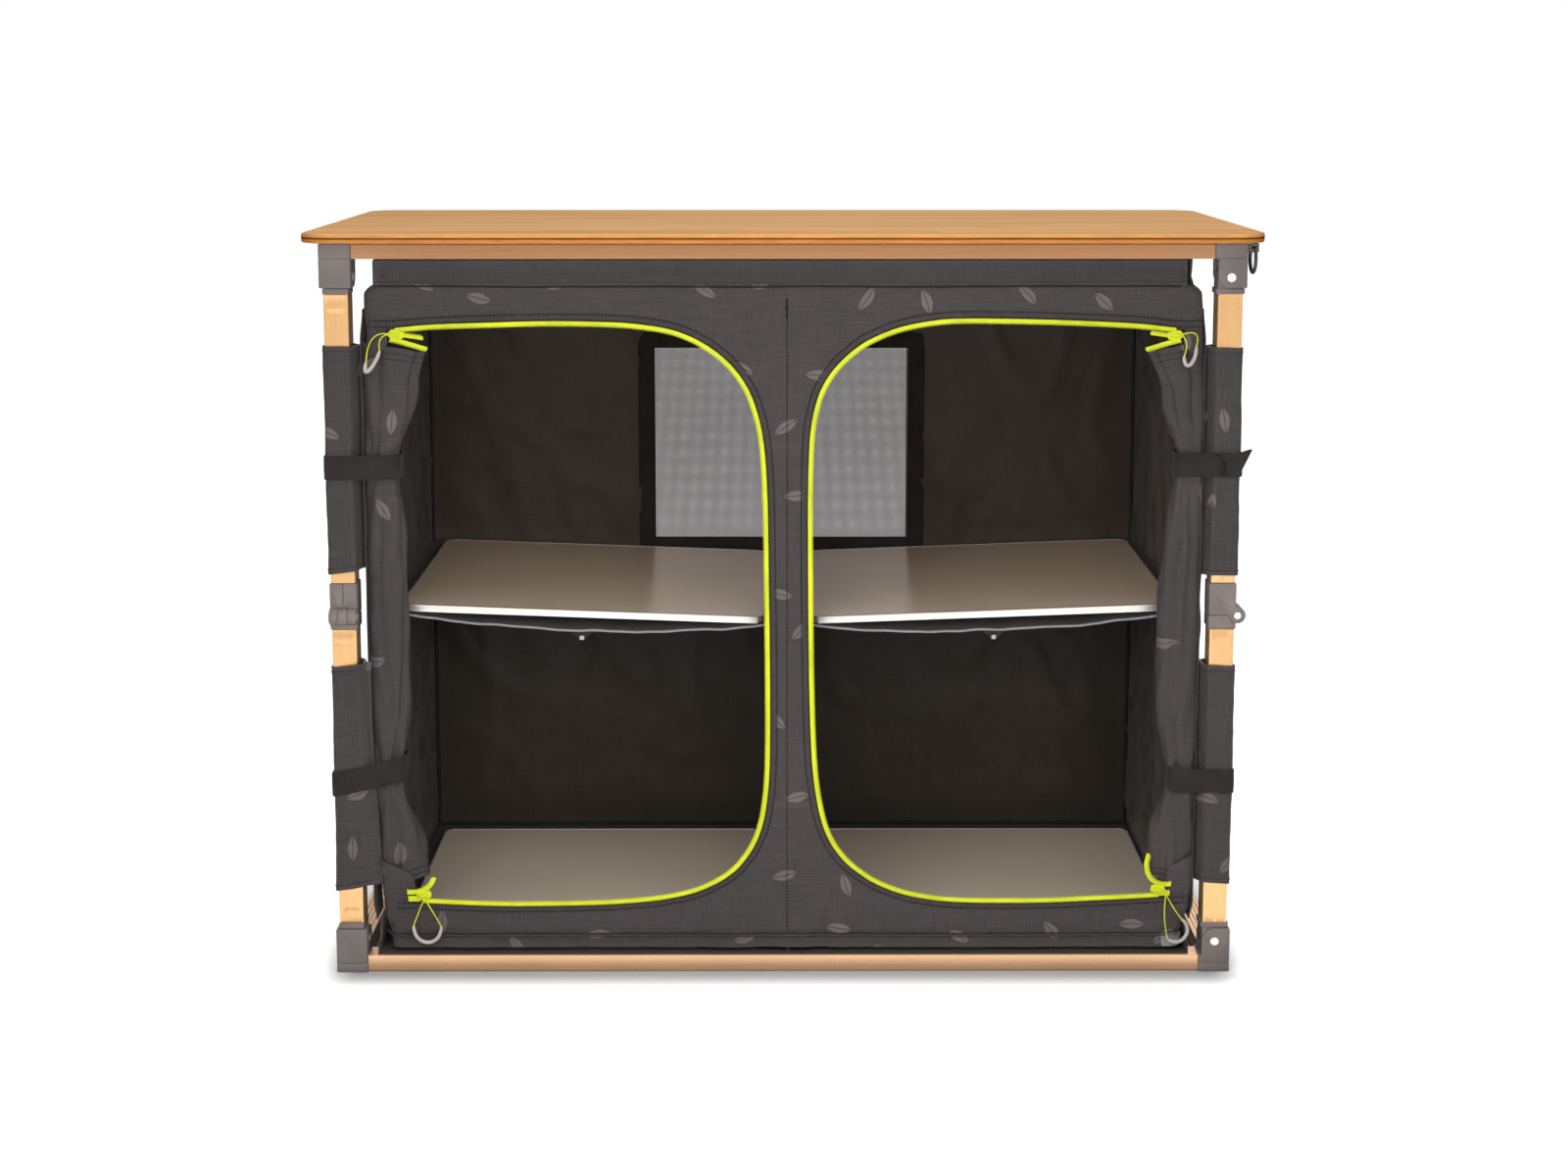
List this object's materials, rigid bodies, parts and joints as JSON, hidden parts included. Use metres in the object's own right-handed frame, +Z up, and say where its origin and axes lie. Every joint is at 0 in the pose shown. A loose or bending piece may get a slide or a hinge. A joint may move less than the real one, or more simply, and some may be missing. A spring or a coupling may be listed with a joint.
{
  "type": "folding camp kitchen cupboard",
  "caption": "Folding camp cupboard with a ply top, a tube frame on knee-jointed legs, a cloth cabinet, hanging shelves and two zipped doors tied open.",
  "frame": {"origin": "centre of the footprint on the floor", "axes": "+Z up, front with the doors at -Y, +X to the right seen from the front"},
  "size_m": [1, 0.4852, 0.79],
  "materials": {
    "bamboo": "satin lacquered ply",
    "bronze_tube": "bronze anodised, satin",
    "grey_moulding": "fine texture",
    "grey_cloth": "plain weave",
    "lime_zip": "moulded teeth",
    "shelf_skin": "board with a brushed metal-coloured skin",
    "dark_metal": "black nickel"
  },
  "bodies": {
    "base": {"front_left_foot_bracket": "grey_moulding", "front_right_foot_bracket": "grey_moulding", "back_right_foot_bracket": "grey_moulding", "back_left_foot_bracket": "grey_moulding", "front_foot_rail": "bronze_tube", "back_foot_rail": "bronze_tube", "left_foot_rail": "bronze_tube", "right_foot_rail": "bronze_tube", "cabinet": "grey_cloth", "front_panel": "grey_cloth", "left_base_board": "shelf_skin", "right_base_board": "shelf_skin", "left_rolled_door": "grey_cloth", "right_rolled_door": "grey_cloth"},
    "front_left_lower": {"front_left_lower_leg": "bronze_tube", "front_left_knee_lower": "grey_moulding", "front_left_lower_sleeve": "grey_cloth"},
    "front_left_upper": {"front_left_upper_leg": "bronze_tube", "front_left_knee_upper": "grey_moulding", "front_left_upper_sleeve": "grey_cloth"},
    "front_right_lower": {"front_right_lower_leg": "bronze_tube", "front_right_knee_lower": "grey_moulding", "front_right_lower_sleeve": "grey_cloth"},
    "front_right_upper": {"front_right_upper_leg": "bronze_tube", "front_right_knee_upper": "grey_moulding", "front_right_upper_sleeve": "grey_cloth"},
    "back_right_lower": {"back_right_lower_leg": "bronze_tube", "back_right_knee_lower": "grey_moulding", "back_right_lower_sleeve": "grey_cloth"},
    "back_right_upper": {"back_right_upper_leg": "bronze_tube", "back_right_knee_upper": "grey_moulding", "back_right_upper_sleeve": "grey_cloth"},
    "back_left_lower": {"back_left_lower_leg": "bronze_tube", "back_left_knee_lower": "grey_moulding", "back_left_lower_sleeve": "grey_cloth"},
    "back_left_upper": {"back_left_upper_leg": "bronze_tube", "back_left_knee_upper": "grey_moulding", "back_left_upper_sleeve": "grey_cloth"},
    "top_frame": {"table_top": "bamboo", "front_left_head_bracket": "grey_moulding", "front_right_head_bracket": "grey_moulding", "back_right_head_bracket": "grey_moulding", "back_left_head_bracket": "grey_moulding", "front_head_rail": "bronze_tube", "back_head_rail": "bronze_tube", "left_head_rail": "bronze_tube", "right_head_rail": "bronze_tube"},
    "left_shelf": {"left_hanging_shelf": "shelf_skin"},
    "right_shelf": {"right_hanging_shelf": "shelf_skin"},
    "zip_chains": {"left_zip": "lime_zip", "right_zip": "lime_zip"},
    "left_upper_slider": {"left_upper_slider": "grey_cloth"},
    "left_upper_pull": {"left_upper_pull": "grey_moulding"},
    "left_lower_slider": {"left_lower_slider": "grey_cloth"},
    "left_lower_pull": {"left_lower_pull": "grey_moulding"},
    "right_upper_slider": {"right_upper_slider": "grey_cloth"},
    "right_upper_pull": {"right_upper_pull": "grey_moulding"},
    "right_lower_slider": {"right_lower_slider": "grey_cloth"},
    "right_lower_pull": {"right_lower_pull": "grey_moulding"},
    "ring": {"hanging_ring": "dark_metal"}
  },
  "joints": [
    {"name": "fold", "type": "hinge", "parent": "base", "child": "front_left_lower", "pos_m": [-0.4612, -0.218, 0.0336], "axis": [-1, 0, 0], "range_deg": [0, 88], "deforming": ["cabinet", "front_panel", "left_rolled_door", "right_rolled_door", "left_zip", "right_zip", "front_left_lower_sleeve", "front_left_upper_sleeve", "front_right_lower_sleeve", "front_right_upper_sleeve", "back_right_lower_sleeve", "back_right_upper_sleeve", "back_left_lower_sleeve", "back_left_upper_sleeve"]},
    {"name": "front_left_knee_pin", "type": "hinge", "parent": "front_left_lower", "child": "front_left_upper", "pos_m": [-0.4612, -0.2338, 0.3893], "axis": [-1, 0, 0], "range_deg": [-176, 0]},
    {"name": "front_right_foot_pin", "type": "hinge", "parent": "base", "child": "front_right_lower", "pos_m": [0.4612, -0.218, 0.0336], "axis": [0, -1, 0], "range_deg": [0, 88]},
    {"name": "front_right_knee_pin", "type": "hinge", "parent": "front_right_lower", "child": "front_right_upper", "pos_m": [0.477, -0.218, 0.3893], "axis": [0, -1, 0], "range_deg": [-176, 0]},
    {"name": "back_right_foot_pin", "type": "hinge", "parent": "base", "child": "back_right_lower", "pos_m": [0.4612, 0.218, 0.0336], "axis": [1, 0, 0], "range_deg": [0, 88]},
    {"name": "back_right_knee_pin", "type": "hinge", "parent": "back_right_lower", "child": "back_right_upper", "pos_m": [0.4612, 0.2338, 0.3893], "axis": [1, 0, 0], "range_deg": [-176, 0]},
    {"name": "back_left_foot_pin", "type": "hinge", "parent": "base", "child": "back_left_lower", "pos_m": [-0.4612, 0.218, 0.0336], "axis": [0, 1, 0], "range_deg": [0, 88]},
    {"name": "back_left_knee_pin", "type": "hinge", "parent": "back_left_lower", "child": "back_left_upper", "pos_m": [-0.477, 0.218, 0.3893], "axis": [0, 1, 0], "range_deg": [-176, 0]},
    {"name": "front_left_head_pin", "type": "hinge", "parent": "front_left_upper", "child": "top_frame", "pos_m": [-0.4612, -0.218, 0.745], "axis": [-1, 0, 0], "range_deg": [0, 88]},
    {"name": "left_shelf_drop", "type": "slide", "parent": "base", "child": "left_shelf", "axis": [0, 0, -1], "range_m": [0, 0.33]},
    {"name": "right_shelf_drop", "type": "slide", "parent": "base", "child": "right_shelf", "axis": [0, 0, -1], "range_m": [0, 0.33]},
    {"name": "zip_drop", "type": "slide", "parent": "base", "child": "zip_chains", "axis": [0, 0, -1], "range_m": [0, 0.586]},
    {"name": "left_upper_zip_run", "type": "slide", "parent": "zip_chains", "child": "left_upper_slider", "axis": [0.9995, 0, 0.032], "range_m": [0, 0.22]},
    {"name": "left_upper_pull_swing", "type": "hinge", "parent": "left_upper_slider", "child": "left_upper_pull", "pos_m": [-0.394, -0.2377, 0.689], "axis": [-0.829, 0, 0.5592], "range_deg": [0, 110]},
    {"name": "left_lower_zip_run", "type": "slide", "parent": "base", "child": "left_lower_slider", "axis": [0.9999, 0, -0.0155], "range_m": [0, 0.22]},
    {"name": "left_lower_pull_swing", "type": "hinge", "parent": "left_lower_slider", "child": "left_lower_pull", "pos_m": [-0.375, -0.2377, 0.0836], "axis": [-0.9945, 0, -0.1045], "range_deg": [0, 110]},
    {"name": "right_upper_zip_run", "type": "slide", "parent": "zip_chains", "child": "right_upper_slider", "axis": [-0.9995, 0, 0.032], "range_m": [0, 0.22]},
    {"name": "right_upper_pull_swing", "type": "hinge", "parent": "right_upper_slider", "child": "right_upper_pull", "pos_m": [0.404, -0.2377, 0.689], "axis": [-0.8387, 0, -0.5446], "range_deg": [0, 110]},
    {"name": "right_lower_zip_run", "type": "slide", "parent": "base", "child": "right_lower_slider", "axis": [-0.9999, 0, -0.0155], "range_m": [0, 0.22]},
    {"name": "right_lower_pull_swing", "type": "hinge", "parent": "right_lower_slider", "child": "right_lower_pull", "pos_m": [0.385, -0.2377, 0.0836], "axis": [-0.9703, 0, -0.2419], "range_deg": [0, 110]},
    {"name": "ring_swing", "type": "hinge", "parent": "top_frame", "child": "ring", "pos_m": [0.4863, -0.216, 0.7748], "axis": [0, -1, 0], "range_deg": [-10, 80]}
  ],
  "couplings": [
    {"joint": "front_left_knee_pin", "follows": "fold", "ratio": -2},
    {"joint": "front_right_foot_pin", "follows": "fold", "ratio": 1},
    {"joint": "front_right_knee_pin", "follows": "fold", "ratio": -2},
    {"joint": "back_right_foot_pin", "follows": "fold", "ratio": 1},
    {"joint": "back_right_knee_pin", "follows": "fold", "ratio": -2},
    {"joint": "back_left_foot_pin", "follows": "fold", "ratio": 1},
    {"joint": "back_left_knee_pin", "follows": "fold", "ratio": -2},
    {"joint": "front_left_head_pin", "follows": "fold", "ratio": 1},
    {"joint": "left_shelf_drop", "follows": "fold", "m_per_rad": 0.21473},
    {"joint": "right_shelf_drop", "follows": "fold", "m_per_rad": 0.21473},
    {"joint": "zip_drop", "follows": "fold", "m_per_rad": 0.38141}
  ]
}
